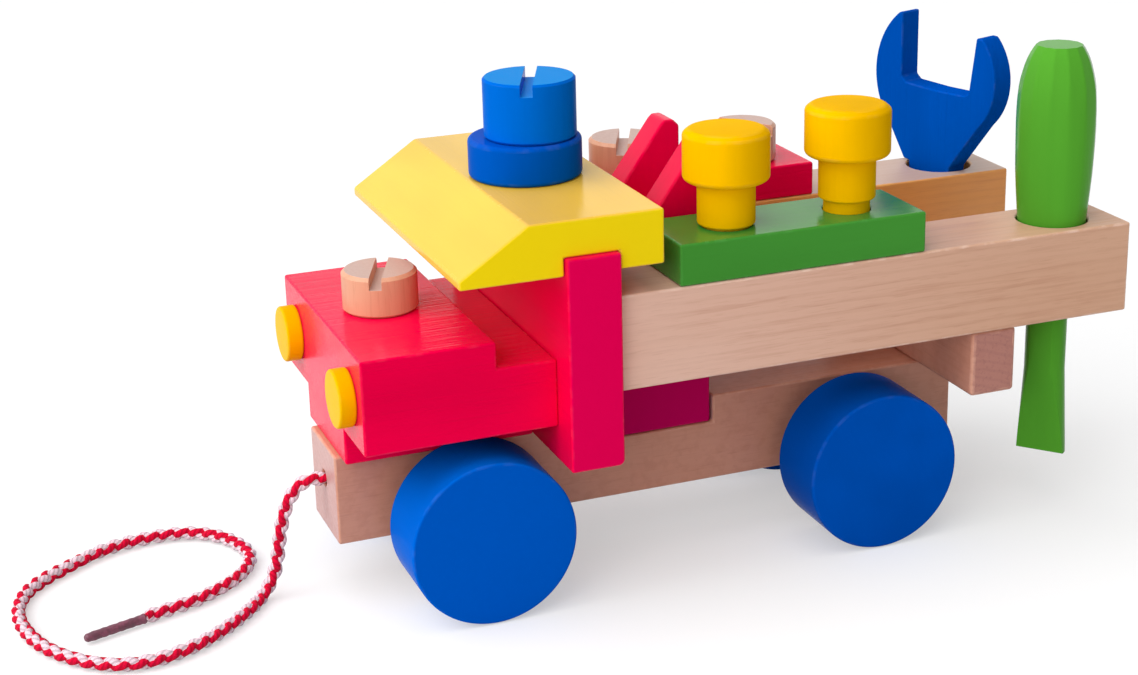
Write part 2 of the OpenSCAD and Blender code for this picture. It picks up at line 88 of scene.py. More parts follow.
class TruckColours(bpy.types.PropertyGroup):
    """Paints and woods of the truck, as linear colours."""

    red: tint("Red", "Paint of hood, cab plate, red strip and hammer", (0.90, 0.0, 0.060))
    roof_yellow: tint("Roof yellow", "Paint of the cab roof", (0.91, 0.550, 0.055))
    peg_yellow: tint("Peg yellow", "Paint of headlights and pegs", (0.92, 0.485, 0.0))
    blue: tint("Blue", "Paint of ring, wrench and rear wheels", (0.0, 0.083, 0.485))
    # painted light: the front wheels are a lighter blue than the rear ones for the front light that falls on them
    lit_front_blue: tint("Front wheel blue", "Paint of the front wheels", (0.0, 0.125, 0.645))
    bolt_blue: tint("Bolt blue", "Lighter blue paint of the roof bolt", (0.0, 0.130, 0.62))
    strip_green: tint("Strip green", "Paint of the peg strip", (0.054, 0.275, 0.033))
    driver_green: tint("Screwdriver green", "Paint of the screwdriver", (0.095, 0.385, 0.030))
    wood: tint("Wood", "Pale wood between the year rings", (0.74, 0.445, 0.335))
    # partly a warmer board and partly painted shade with red bounce light from the hood, for the beam and crossbar
    # under the hood and rails
    warm_wood: tint("Warm wood", "Warmer boards: beam and crossbar", (0.62, 0.278, 0.184))
    # painted shade: this dark, orange tone stands for the shade and warm bounce light on the right rail's sides inside
    # the load bed
    painted_shade_amber_wood: tint("Amber wood", "Darkest board, the right rail", (0.76, 0.300, 0.065))
    screw_wood: tint("Screw wood", "Turned sides of the wooden screws", (0.68, 0.335, 0.205))
    cord_red: tint("Cord red", "Red strands of the cord", (0.78, 0.0, 0.038))
    cord_white: tint("Cord white", "White strands of the cord", (0.96, 0.73, 0.81))
    cord_end: tint("Cord end", "Bound end of the cord", (0.115, 0.030, 0.052))


def sizes():
    return bpy.context.scene.truck_sizes


def colours():
    return bpy.context.scene.truck_colours


# Materials


def node(tree, kind, **settings):
    made = tree.nodes.new(kind)
    for name, value in settings.items():
        setattr(made, name, value)
    return made


def put(made, values):
    for name, value in values.items():
        made.inputs[name].default_value = value


def arithmetic(tree, operation, a, b):
    made = node(tree, "ShaderNodeMath", operation=operation)
    for socket, value in zip(made.inputs, (a, b)):
        if isinstance(value, (int, float)):
            socket.default_value = value
        else:
            tree.links.new(value, socket)
    return made.outputs[0]


def times(tree, a, b):
    return arithmetic(tree, "MULTIPLY", a, b)


def parts(tree, vector):
    """X, Y and Z of a vector."""
    made = node(tree, "ShaderNodeSeparateXYZ")
    tree.links.new(vector, made.inputs[0])
    return made.outputs


def spread(tree, value, low, high, to_low=0.0, to_high=1.0):
    made = node(tree, "ShaderNodeMapRange", interpolation_type="SMOOTHSTEP")
    tree.links.new(value, made.inputs["Value"])
    put(made, {"From Min": low, "From Max": high, "To Min": to_low, "To Max": to_high})
    return made.outputs["Result"]


def mixed(tree, factor, a, b, blend="MIX"):
    made = node(tree, "ShaderNodeMix", data_type="RGBA", blend_type=blend)
    for socket, value in ((made.inputs[0], factor), (made.inputs[6], a), (made.inputs[7], b)):
        if isinstance(value, bpy.types.NodeSocket):
            tree.links.new(value, socket)
        elif isinstance(value, (int, float)):
            socket.default_value = value
        else:
            socket.default_value = (*value, 1.0)
    return made.outputs[2]


def noise(tree, vector, scale, detail=2.0, rough=0.5):
    made = node(tree, "ShaderNodeTexNoise")
    tree.links.new(vector, made.inputs["Vector"])
    put(made, {"Scale": scale, "Detail": detail, "Roughness": rough})
    return made.outputs["Fac"]


def new_group(name, inputs, outputs):
    tree = bpy.data.node_groups.new(name, "ShaderNodeTree")
    for way, labels in (("INPUT", inputs), ("OUTPUT", outputs)):
        for label in labels:
            kind = "NodeSocketVector" if label == "Vector" else "NodeSocketFloat"
            tree.interface.new_socket(name=label, in_out=way, socket_type=kind)
    return tree, tree.nodes.new("NodeGroupInput"), tree.nodes.new("NodeGroupOutput")


def grain_group():
    """Year rings, fine pores and slow tone of sawn wood whose grain runs along the vector's X."""
    made = bpy.data.node_groups.get("Wood Grain")
    if made:
        return made
    tree, given, out = new_group("Wood Grain", ["Vector"], ["Rings", "Pores", "Tone", "Fibre"])
    x, y, z = parts(tree, given.outputs["Vector"])
    stretched = {}
    for name, factor in (("ring", 0.06), ("line", 0.045), ("pore", 0.05), ("fibre", 0.02), ("tone", 0.30)):
        joined = node(tree, "ShaderNodeCombineXYZ")
        for value, socket in zip((times(tree, x, factor), y, z), joined.inputs):
            tree.links.new(value, socket)
        stretched[name] = joined.outputs[0]
    wave = node(tree, "ShaderNodeTexWave", wave_type="RINGS", rings_direction="X", wave_profile="SIN")
    tree.links.new(stretched["ring"], wave.inputs["Vector"])
    put(wave, {"Scale": 92.0, "Distortion": 5.5, "Detail": 3.0, "Detail Scale": 0.5, "Detail Roughness": 0.55})
    lines = spread(tree, noise(tree, stretched["line"], 760.0, 2.0, 0.55), 0.54, 0.66)
    rings = times(tree, spread(tree, wave.outputs["Fac"], 0.55, 1.0), 0.40)
    tree.links.new(arithmetic(tree, "ADD", rings, times(tree, lines, 0.60)), out.inputs["Rings"])
    tree.links.new(spread(tree, noise(tree, stretched["pore"], 2200.0, 1.0), 0.58, 0.74), out.inputs["Pores"])
    tree.links.new(noise(tree, stretched["tone"], 26.0, 2.0), out.inputs["Tone"])
    tree.links.new(noise(tree, stretched["fibre"], 900.0, 2.0), out.inputs["Fibre"])
    return tree


def edge_wear_and_highlight_group():
    """Patchy mask on rounded edges, broken up along the edge: worn paint on painted pieces and a painted highlight on
    natural wood.
    """
    made = bpy.data.node_groups.get("Rubbed Edges And Painted Highlights")
    if made:
        return made
    tree, given, out = new_group("Rubbed Edges And Painted Highlights", ["Vector", "Edge"], ["Rub"])
    patchy = spread(tree, noise(tree, given.outputs["Vector"], 160.0, 3.0, 0.6), 0.42, 0.70)
    tree.links.new(times(tree, patchy, given.outputs["Edge"]), out.inputs["Rub"])
    return tree


GRAIN_TURNS = {"x": (0, 0, 0), "y": (0, 0, -math.pi / 2), "z": (0, math.pi / 2, 0)}


def new_material(name):
    made = bpy.data.materials.new(name)
    made.use_nodes = True
    return made, made.node_tree, made.node_tree.nodes["Principled BSDF"]


def wood_base(name, grain, pith):
    """New material with its shader, wood grain along an axis, and an edge mask for worn paint and painted edge
    highlights.
    """
    made, tree, shader = new_material(name)
    where = node(tree, "ShaderNodeTexCoord")
    turn = node(tree, "ShaderNodeMapping")
    put(turn, {"Rotation": GRAIN_TURNS[grain], "Location": pith})
    tree.links.new(where.outputs["Object"], turn.inputs["Vector"])
    grained = node(tree, "ShaderNodeGroup", node_tree=grain_group())
    tree.links.new(turn.outputs[0], grained.inputs["Vector"])
    edge = node(tree, "ShaderNodeAttribute", attribute_name="edge")
    rub_and_highlight_mask = node(tree, "ShaderNodeGroup", node_tree=edge_wear_and_highlight_group())
    tree.links.new(where.outputs["Object"], rub_and_highlight_mask.inputs["Vector"])
    tree.links.new(edge.outputs["Fac"], rub_and_highlight_mask.inputs["Edge"])
    return made, tree, shader, where, grained, rub_and_highlight_mask


def bumped(tree, shader, height, strength, distance):
    bump = node(tree, "ShaderNodeBump")
    put(bump, {"Strength": strength, "Distance": distance})
    tree.links.new(height, bump.inputs["Height"])
    tree.links.new(bump.outputs[0], shader.inputs["Normal"])


def cut_across(tree, where, grain, share):
    """Mask of the faces that are cut across the grain."""
    facing = arithmetic(tree, "ABSOLUTE", parts(tree, where.outputs["Normal"])["xyz".index(grain)], 0.0)
    return spread(tree, facing, 0.75, 0.95, 0.0, share)


def tinted(colour, factors):
    return tuple(min(1.0, a * b) for a, b in zip(colour, factors))


# how far the end grain soaked up lacquer and its colour there, by tone and grain; the crossbar's ends (warm y) are also
# painted darker for the shade under the rails
END_GRAIN = {
    "screw z": (0.9, (0.54, 0.37, 0.32)), "warm x": (0.8, (0.57, 0.348, 0.335)),
    "warm y": (0.6, (0.37, 0.145, 0.135))}


def natural_wood(grain, tone="pale", pith=(0.0, 0.055, 0.075)):
    """Pale or warm hardwood under clear satin lacquer, darker where the end grain soaked it up."""
    name = f"natural_wood_{tone}_{grain}"
    made = bpy.data.materials.get(name)
    if made:
        return made
    made, tree, shader, where, grained, rub_and_highlight_mask = wood_base(name, grain, pith)
    wood = Vector({"pale": colours().wood, "rail": colours().wood, "warm": colours().warm_wood,
                   "amber": colours().painted_shade_amber_wood, "screw": colours().screw_wood}[tone])
    late = tinted(wood, (0.83, 0.74, 0.70))
    early = tinted(wood, (1.08, 1.15, 1.22))
    lined, streaked = (0.26, 0.25) if tone == "warm" else (0.62, 0.60)
    body = mixed(tree, times(tree, grained.outputs["Rings"], lined), tuple(wood), late)
    streak = spread(tree, grained.outputs["Tone"], 0.3, 0.7)
    body = mixed(tree, times(tree, streak, streaked), body, early)
    if tone == "warm":
        mottle = spread(tree, noise(tree, where.outputs["Object"], 230.0, 3.0, 0.6), 0.45, 0.65, 0.0, 0.30)
        body = mixed(tree, mottle, body, late)
    pore = tinted(wood, (0.72, 0.58, 0.50))
    body = mixed(tree, times(tree, grained.outputs["Pores"], 0.22), body, pore)
    share, soaked = END_GRAIN.get(f"{tone} {grain}", (0.55, tinted(wood, (0.66, 0.60, 0.58))))
    body = mixed(tree, cut_across(tree, where, grain, share), body, soaked)
    if tone != "screw":
        ringed = times(tree, cut_across(tree, where, grain, 0.4), grained.outputs["Rings"])
        body = mixed(tree, ringed, body, tinted(soaked, (0.80, 0.74, 0.74)))
    # painted shade: the right rail's sides keep the dark amber tone, while its top and bottom get a paler colour
    if tone == "amber":
        body = mixed(tree, cut_across(tree, where, "z", 0.85), body, (0.58, 0.42, 0.34))
    # painted shade: the left rail darkens and warms towards its rear, away from the front light
    if tone == "rail":
        rearward = spread(tree, parts(tree, where.outputs["Object"])[0], -0.15, 0.04, 1.0, 0.0)
        body = mixed(tree, rearward, body, (0.90, 0.83, 0.70), "MULTIPLY")
    # painted highlight: the rounded edges of natural wood are paler, standing in for light caught on them
    pale = tinted(wood, (1.15, 1.35, 1.45))
    body = mixed(tree, times(tree, rub_and_highlight_mask.outputs["Rub"], 0.7), body, pale)
    tree.links.new(body, shader.inputs["Base Color"])
    tree.links.new(spread(tree, grained.outputs["Fibre"], 0.3, 0.7, 0.32, 0.46), shader.inputs["Roughness"])
    shader.inputs["Specular IOR Level"].default_value = 0.6 if tone == "amber" else 0.35
    relief = arithmetic(tree, "ADD", times(tree, grained.outputs["Fibre"], 0.6),
                        times(tree, grained.outputs["Pores"], -0.5))
    bumped(tree, shader, relief, 0.25, 0.0002)
    return made


PAINT_PITH = (0.0, 0.09, 0.02)
# the foot's colour is painted shade, laid below a height and faded out over these heights
SHADE_FADE = (-0.004, 0.020)  # heights about the foot's own over which its colour fades


def gloss_paint(name, colour, grain, gloss=0.12, ends=None, lines=0.22, foot=None):
    """Gloss toy paint on wood: the grain shows through as faint lines, and the paint on the edges is worn.

    The ends are faces across the grain with a colour of their own, which paints light on some pieces and shade on
    others. The foot is a height with a darker painted shade below it."""
    name = f"{name}_{grain}"
    made = bpy.data.materials.get(name)
    if made:
        return made
    made, tree, shader, where, grained, rub_and_highlight_mask = wood_base(name, grain, PAINT_PITH)
    colour = Vector(colour)
    deep = tuple(colour * 0.86)
    light = tuple(min(1.0, v * 1.06) for v in colour)
    body = mixed(tree, spread(tree, grained.outputs["Tone"], 0.25, 0.75), deep, light)
    body = mixed(tree, times(tree, grained.outputs["Rings"], 0.16), body, deep)
    # ends: the faces across the grain get their own colour, a painted light on some pieces and a painted shade on
    # others
    if ends:
        body = mixed(tree, cut_across(tree, where, grain, 1.0), body, ends)
    # foot: painted shade, a darker colour below a height that fades out above it
    if foot:
        top, shaded = foot
        height = parts(tree, where.outputs["Object"])[2]
        body = mixed(tree, spread(tree, height, *(top + fade for fade in SHADE_FADE), 1.0, 0.0), body, shaded)
    worn = tuple(v * 0.84 + 0.06 for v in colour)
    body = mixed(tree, times(tree, rub_and_highlight_mask.outputs["Rub"], 0.22), body, worn)
    tree.links.new(body, shader.inputs["Base Color"])
    haze = spread(tree, noise(tree, where.outputs["Object"], 120.0, 3.0), 0.3, 0.7, 0.15, 0.22)
    rough = arithmetic(tree, "ADD", haze, times(tree, rub_and_highlight_mask.outputs["Rub"], 0.15))
    tree.links.new(rough, shader.inputs["Roughness"])
    put(shader, {"Specular IOR Level": gloss, "Specular Tint": (*(colour / max(colour)), 1.0)})
    relief = arithmetic(tree, "ADD", times(tree, grained.outputs["Fibre"], 0.55),
                        times(tree, grained.outputs["Rings"], -0.35))
    bumped(tree, shader, relief, lines, 0.00022)
    return made


PLIES, PLY_TURNS = 3, 260  # in a strand, and along it


def yarn(name, colour):
    """Soft cotton strand with fine fibres and its own twisted ply, which follows the strand's UV map."""
    made, tree, shader = new_material(name)
    where = node(tree, "ShaderNodeTexCoord")
    fuzz = noise(tree, where.outputs["Object"], 2600.0, 3.0, 0.6)
    u, v, _ = parts(tree, where.outputs["UV"])
    lay = arithmetic(tree, "ADD", times(tree, u, 2 * math.pi * PLY_TURNS), times(tree, v, 2 * math.pi * PLIES))
    ply = spread(tree, arithmetic(tree, "SINE", lay, 0.0), -1.0, 0.4)
    body = mixed(tree, spread(tree, fuzz, 0.3, 0.7), tuple(Vector(colour) * 0.72), colour)
    # painted shade: the grooves between the plies, low in the bump, are darker
    body = mixed(tree, ply, tuple(Vector(colour) * 0.60), body)
    tree.links.new(body, shader.inputs["Base Color"])
    put(shader, {"Roughness": 0.8, "Specular IOR Level": 0.1, "Sheen Weight": 0.04})
    bumped(tree, shader, arithmetic(tree, "ADD", ply, times(tree, fuzz, 0.5)), 0.6, 0.0002)
    return made


def bound_end(name, colour):
    """Stiff, shrunken binding with pale and dark blotches."""
    made, tree, shader = new_material(name)
    where = node(tree, "ShaderNodeTexCoord")
    blotch = noise(tree, where.outputs["Object"], 330.0, 3.0, 0.65)
    body = mixed(tree, spread(tree, blotch, 0.4, 0.66), colour, tuple(Vector(colour) * 1.8))
    tree.links.new(body, shader.inputs["Base Color"])
    tree.links.new(spread(tree, blotch, 0.3, 0.7, 0.32, 0.55), shader.inputs["Roughness"])
    bumped(tree, shader, blotch, 0.5, 0.0003)
    return made


# Shapes


def moved(bm, x, y, z):
    bmesh.ops.translate(bm, vec=(x, y, z), verts=bm.verts)
    return bm


def spun(bm, matrix):
    bmesh.ops.rotate(bm, cent=(0, 0, 0), matrix=matrix, verts=bm.verts)
    return bm


def aimed(direction):
    """Rotation that turns Z along a direction."""
    return direction.to_track_quat("Z", "Y").to_matrix()


def block(low, high):
    """Sawn block between two corners."""
    low, high = Vector(low), Vector(high)
    bm = bmesh.new()
    bmesh.ops.create_cube(bm, size=1.0)
    bmesh.ops.scale(bm, vec=high - low, verts=bm.verts)
    return moved(bm, *((low + high) / 2))


def prism(outline, sweep):
    """Flat outline pushed along a vector."""
    bm = bmesh.new()
    face = bm.faces.new([bm.verts.new(p) for p in outline])
    pushed = bmesh.ops.extrude_face_region(bm, geom=[face])
    bmesh.ops.translate(bm, vec=sweep, verts=[g for g in pushed["geom"] if isinstance(g, bmesh.types.BMVert)])
    bmesh.ops.recalc_face_normals(bm, faces=bm.faces)
    return bm


def rod(start, end, radius, steps=64):
    """Straight round rod between two points."""
    start, end = Vector(start), Vector(end)
    bm = bmesh.new()
    bmesh.ops.create_cone(bm, cap_ends=True, segments=steps, radius1=radius, radius2=radius, depth=(end - start).length)
    return moved(spun(bm, aimed(end - start)), *((start + end) / 2))


def upright(x, y, low, high, radius):
    """Rod along Z, which cuts a drilled hole."""
    return rod((x, y, low), (x, y, high), radius)


def turned(profile, steps=None):
    """Lathe work: a profile of (radius, height) turned about Z, from axis to axis."""
    bm = bmesh.new()
    verts = [bm.verts.new((r, 0, h)) for r, h in profile]
    edges = [bm.edges.new(pair) for pair in zip(verts, verts[1:])]
    bmesh.ops.spin(bm, geom=verts + edges, cent=(0, 0, 0), axis=(0, 0, 1), angle=2 * math.pi,
                   steps=steps or sizes().turn_steps, use_merge=True)
    bmesh.ops.remove_doubles(bm, verts=bm.verts, dist=WELD)
    bmesh.ops.recalc_face_normals(bm, faces=bm.faces)
    return bm


def as_object(bm, name):
    mesh = bpy.data.meshes.new(name)
    bm.to_mesh(mesh)
    made = bpy.data.objects.new(name, mesh)
    bpy.context.scene.collection.objects.link(made)
    return made


def carved(bm, *cutters):
    """Takes each cutter's shape out of a bmesh."""
    work = as_object(bm, "carving")
    tools = []
    for cutter in cutters:
        tools.append(as_object(cutter, "cutter"))
        cutter.free()
        cut = work.modifiers.new("cut", "BOOLEAN")
        cut.operation = "DIFFERENCE"
        cut.solver = "EXACT"
        cut.object = tools[-1]
    result = bpy.data.meshes.new_from_object(work.evaluated_get(bpy.context.evaluated_depsgraph_get()))
    bm.clear()
    bm.from_mesh(result)
    bpy.data.meshes.remove(result)
    for used in (work, *tools):
        mesh = used.data
        bpy.data.objects.remove(used)
        bpy.data.meshes.remove(mesh)
    bmesh.ops.remove_doubles(bm, verts=bm.verts, dist=WELD)
    bmesh.ops.dissolve_limit(bm, angle_limit=math.radians(0.2), verts=bm.verts, edges=bm.edges)
    return bm


def eased(bm, radius=None, segments=3, least=28.0):
    """Rounds every edge sharper than the least angle and marks the rounding for worn paint and painted edge highlights.
    """
    worn = bm.faces.layers.float.get("edge") or bm.faces.layers.float.new("edge")
    sharp = [e for e in bm.edges if e.is_manifold and e.calc_face_angle() > math.radians(least)]
    made = bmesh.ops.bevel(bm, geom=sharp, offset=radius or sizes().edge, offset_type="OFFSET", segments=segments,
                           profile=0.5, affect="EDGES", clamp_overlap=True, material=-1)
    for face in made["faces"]:
        face[worn] = 1.0
    return bm


def piece(bm, name, cad_node, body, material, smooth=32.0):
    """Finished piece in place of a CAD node, riding on its body."""
    made = as_object(bm, name)
    bm.free()
    made.data.materials.append(material)
    made.data.shade_smooth()
    made.data.set_sharp_from_angle(angle=math.radians(smooth))
    flat = made.modifiers.new("flat faces", "WEIGHTED_NORMAL")
    flat.keep_sharp = True
    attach(made, body)
    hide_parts(cad_node)
    return made


def corners(cad_node):
    low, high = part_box(cad_node)
    return Vector(low), Vector(high)


def middle(cad_node):
    low, high = corners(cad_node)
    return (low + high) / 2


def finish_cad(name, material):
    """Gives a hidden CAD piece, which stays as it is, a proper material."""
    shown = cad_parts[name]
    shown.data.materials.clear()
    shown.data.materials.append(material)


def plain_sight(tree):
    """1 for what the camera, a reflection or glass shows, 0 for light that falls on the truck."""
    path = node(tree, "ShaderNodeLightPath")
    seen = arithmetic(tree, "MAXIMUM", path.outputs["Is Camera Ray"], path.outputs["Is Glossy Ray"])
    return arithmetic(tree, "MAXIMUM", seen, path.outputs["Is Transmission Ray"])


# Stage and pieces


CAMERA_AT = (0.30775, 0.6955, 0.3437)
CAMERA_TURN = (158.4, 18.2, -1.1)  # azimuth, elevation and roll in degrees
LENS = {
    "sensor_width": 36.0, "lens": 67.19, "shift_x": -0.0370, "shift_y": -0.0473, "clip_start": 0.05, "clip_end": 30.0}
FLOOR_SIZE, FLOOR_DROP = 8.0, 0.0003
FLOOR_LIT, FLOOR_SEEN, FLOOR_GLOW = (0.60, 0.60, 0.60), (0.55, 0.55, 0.55), 0.45
FILL_REAR, FILL_FRONT = 0.20, 0.72
SUN_POWER, SUN_SPREAD, SUN_FROM = 1.85, math.radians(70), Vector((0.40, 0.08, 0.91))
LIT_POINT = Vector((0, 0, 0.08))
# name, place, size and power
SOFTBOXES = (("front_softbox", (0.90, -0.05, 0.50), 0.6, 2.0), ("side_softbox", (0.55, 0.60, 0.40), 0.4, 1.6))


class TRUCK_OT_stage(bpy.types.Operator):
    """Make the camera, the pale floor and the soft studio light"""

    bl_idname = "truck.stage"
    bl_label = "Stage and Camera"

    def execute(self, context):
        scene = context.scene
        scene.view_settings.view_transform = "Standard"
        lens = bpy.data.cameras.new("photo_camera")
        for name, value in LENS.items():
            setattr(lens, name, value)
        camera = bpy.data.objects.new("photo_camera", lens)
        az, el, roll = map(math.radians, CAMERA_TURN)
        back = Vector((math.sin(az) * math.cos(el), -math.cos(az) * math.cos(el), math.sin(el)))
        side = Vector((0, 0, 1)).cross(back).normalized()
        rise = back.cross(side)
        right = math.cos(roll) * side + math.sin(roll) * rise
        up = -math.sin(roll) * side + math.cos(roll) * rise
        camera.matrix_world = Matrix.Translation(CAMERA_AT) @ Matrix((right, up, back)).transposed().to_4x4()
        scene.collection.objects.link(camera)
        scene.camera = camera

        bm = bmesh.new()
        bmesh.ops.create_grid(bm, x_segments=1, y_segments=1, size=FLOOR_SIZE)
        floor = as_object(moved(bm, 0, 0, -FLOOR_DROP), "pale_floor")
        bm.free()
        paper, tree, shader = new_material("pale_floor")
        seen = plain_sight(tree)
        tree.links.new(mixed(tree, seen, FLOOR_LIT, FLOOR_SEEN), shader.inputs["Base Color"])
        tree.links.new(times(tree, seen, FLOOR_GLOW), shader.inputs["Emission Strength"])
        put(shader, {"Emission Color": (1, 1, 1, 1), "Roughness": 0.9, "Specular IOR Level": 0.1})
        floor.data.materials.append(paper)

        world = bpy.data.worlds.new("studio")
        scene.world = world
        world.use_nodes = True
        tree = world.node_tree
        tree.nodes.clear()
        ahead = parts(tree, node(tree, "ShaderNodeTexCoord").outputs["Generated"])[0]
        fill = spread(tree, ahead, -1.0, 1.0, FILL_REAR, FILL_FRONT)
        soft = node(tree, "ShaderNodeBackground")
        soft.inputs["Color"].default_value = (0.98, 0.99, 1.0, 1)
        tree.links.new(arithmetic(tree, "MAXIMUM", fill, plain_sight(tree)), soft.inputs["Strength"])
        tree.links.new(soft.outputs[0], node(tree, "ShaderNodeOutputWorld").inputs[0])

        sky = bpy.data.lights.new("broad_light", "SUN")
        sky.energy, sky.angle = SUN_POWER, SUN_SPREAD
        lamp = bpy.data.objects.new("broad_light", sky)
        lamp.rotation_euler = SUN_FROM.to_track_quat("Z", "Y").to_euler()
        scene.collection.objects.link(lamp)
        for name, place, size, power in SOFTBOXES:
            box = bpy.data.lights.new(name, "AREA")
            box.size, box.energy = size, power
            lamp = bpy.data.objects.new(name, box)
            lamp.matrix_world = Matrix.Translation(place) @ aimed(Vector(place) - LIT_POINT).to_4x4()
            scene.collection.objects.link(lamp)
        return {"FINISHED"}


# route of the cord in millimetres from the foot of the beam's nose: X, Y and Z as it drops, then X and Y on the floor
CORD_DROP = (
    (-12, 0, 42), (0, 0, 42), (4, 0, 42.2), (8, 0, 41.4), (11.5, 0, 38.5), (14, 0, 34.5), (16, 0, 29),
    (17.5, 0, 23), (18.5, 0, 17), (19.5, 0, 12), (21, 0.5, 8), (23.5, 2, 4.5))
CORD_FLOOR = (
    (27, 5.5), (31.5, 11.5), (37, 17.5), (44, 24), (52, 30), (61, 34.5), (70.5, 37), (80.5, 36), (89.5, 31),
    (98, 22), (104.5, 10.5), (108, -2), (109, -13.5), (107.5, -24), (103.5, -33.5), (96.5, -41.5), (88, -48),
    (78, -55), (68, -59.5), (58, -61.5), (47, -61.5), (36.5, -58), (28.5, -50), (24, -40), (23, -30), (26.5, -20.5),
    (33, -12.5), (41, -6.5), (49, -2), (57, 0.5), (68, 4))
# where the red strands lie round the cord, in degrees, by the distance along it in millimetres
BRAID_LIE = (
    (0, 20), (30, 40), (48, 18), (60, 32), (84, 26), (114, 12), (136, -8), (165, -14), (178, -20), (190, 10),
    (203, 58), (222, 54), (239, 28), (251, -4), (267, -20), (289, -44), (317, -58), (327, -84), (343, -110),
    (370, -150), (400, -152))
ROUTE_STEPS, ROUTE_GAP = 40, 0.0005
FLOOR_GAP = 0.0001
# a strand's radius, its distance from the cord's middle, how far that swings at a crossing, and its lowest middle
STRAND_RADIUS, STRAND_OUT, STRAND_SWING, STRAND_LOWEST = 0.00138, 0.00100, 0.00036, 0.00140
STRAND_LINGER = 0.34


def braid_lie(far):
    """Angle of the braid round the cord at a distance from its start."""
    far *= 1000
    for (a, low), (b, high) in zip(BRAID_LIE, BRAID_LIE[1:]):
        if far <= b:
            return math.radians(low + (high - low) * (far - a) / (b - a))
    return math.radians(BRAID_LIE[-1][1])


def smooth_route(points):
    """Evenly spaced points on a smooth curve through the route's points."""
    ends = [points[0] * 2 - points[1], *points, points[-1] * 2 - points[-2]]
    dense = []
    for a, b, c, d in zip(ends, ends[1:], ends[2:], ends[3:]):
        for k in range(ROUTE_STEPS):
            t = k / ROUTE_STEPS
            dense.append(0.5 * (2 * b + (c - a) * t + (2 * a - 5 * b + 4 * c - d) * t ** 2
                                + (3 * b - a - 3 * c + d) * t ** 3))
    dense.append(points[-1])
    route, walked = [dense[0]], 0.0
    for a, b in zip(dense, dense[1:]):
        walked += (b - a).length
        if walked >= ROUTE_GAP:
            route.append(b)
            walked = 0.0
    return route


class TRUCK_OT_pull_cord(bpy.types.Operator):
    """Braid the red and white pull cord and bind its end"""

    bl_idname = "truck.pull_cord"
    bl_label = "Pull Cord"

    def execute(self, context):
        s, c = sizes(), colours()
        nose = Vector((corners("chassis_beam")[1].x, MID_Y, 0))
        lift = s.cord_diameter / 2 + FLOOR_GAP
        points = [nose + Vector(p) / 1000 for p in CORD_DROP]
        points += [nose + Vector((x / 1000, y / 1000, lift)) for x, y in CORD_FLOOR]
        route = smooth_route(points)
        braid = bpy.data.curves.new("pull_cord", "CURVE")
        braid.dimensions = "3D"
        braid.bevel_depth = STRAND_RADIUS
        braid.bevel_resolution = 2
        braid.use_fill_caps = True
        braid.materials.append(yarn("red_yarn", c.cord_red))
        braid.materials.append(yarn("white_yarn", c.cord_white))
        walked = 0.0
        rings = []
        for i, p in enumerate(route):
            along = (route[min(i + 1, len(route) - 1)] - route[max(i - 1, 0)]).normalized()
            side = Vector((0, 0, 1)).cross(along).normalized()
            walked += (p - route[i - 1]).length if i else 0.0
            rings.append((p, side, along.cross(side), walked))
        for strand in range(4):
            spline = braid.splines.new("POLY")
            spline.points.add(len(rings) - 1)
            spline.material_index = strand % 2
            way = -1 if strand % 2 == 0 else 1
            for point, (p, side, rise, far) in zip(spline.points, rings):
                turn = 2 * math.pi * far / s.braid_turn + strand // 2 * math.pi
                # each strand lingers where it lies on top, red at two sides of the cord and white at the other two
                angle = braid_lie(far) + way * turn + STRAND_LINGER * math.sin(2 * turn)
                out = STRAND_OUT - way * STRAND_SWING * math.cos(2 * turn)
                spot = p + out * (math.cos(angle) * side + math.sin(angle) * rise)
                spot.z = max(spot.z, STRAND_LOWEST)
                point.co = (*spot, 1.0)
        lay = bpy.data.objects.new("pull_cord_curve", braid)
        context.scene.collection.objects.link(lay)
        mesh = bpy.data.meshes.new_from_object(lay.evaluated_get(context.evaluated_depsgraph_get()))
        bpy.data.objects.remove(lay)
        bpy.data.curves.remove(braid)
        cord = bpy.data.objects.new("braided_cord", mesh)
        context.scene.collection.objects.link(cord)
        mesh.shade_smooth()
        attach(cord, "truck")
        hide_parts("pull_cord")

        # radius and distance along the binding, which swells and shrinks
        profile = [(0, 0), (0.0017, 0), (0.0019, 0.0006)]
        profile += [(0.00165 + 0.00010 * math.sin(k * 2.4), 0.0014 + 0.0013 * k) for k in range(16)]
        profile += [(0.0015, 0.0223), (0.0010, 0.0230), (0, 0.0231)]
        sleeve = spun(turned(profile, 24), aimed((points[-1] - points[-2]).normalized()))
        sag = Vector((0, 0, 0.0004))
        bound = piece(moved(sleeve, *(points[-1] - sag)), "cord_end_binding", "cord_sleeve", "truck",
                      bound_end("bound_cord_end", c.cord_end))
        return {"FINISHED"}


class TRUCK_OT_chassis(bpy.types.Operator):
    """Cut the chassis beam with its notch and cord hole, and finish the hidden axles and dowels"""

    bl_idname = "truck.chassis"
    bl_label = "Chassis"

    def execute(self, context):
        low, high = corners("chassis_beam")
        head_low, head_high = corners("hammer_head")
        play, drop = 0.001, 0.0002
        cord_z, hole_depth, hole_r = 0.042, 0.014, 0.0029
        beam = carved(
            block(low, high),
            block((head_low.x - play, low.y - OVER, head_low.z - drop),
                  (head_high.x + play, high.y + OVER, high.z + OVER)),
            rod((high.x - hole_depth, MID_Y, cord_z), (high.x + OVER, MID_Y, cord_z), hole_r, 40))
        piece(eased(beam), "chassis_beam_wood", "chassis_beam", "truck", natural_wood("x", "warm"))
        for name, grain in (("front_axle", "y"), ("rear_axle", "y"), ("rail_dowels", "x"), ("crossbar_dowels", "z")):
            finish_cad(name, natural_wood(grain))
        return {"FINISHED"}


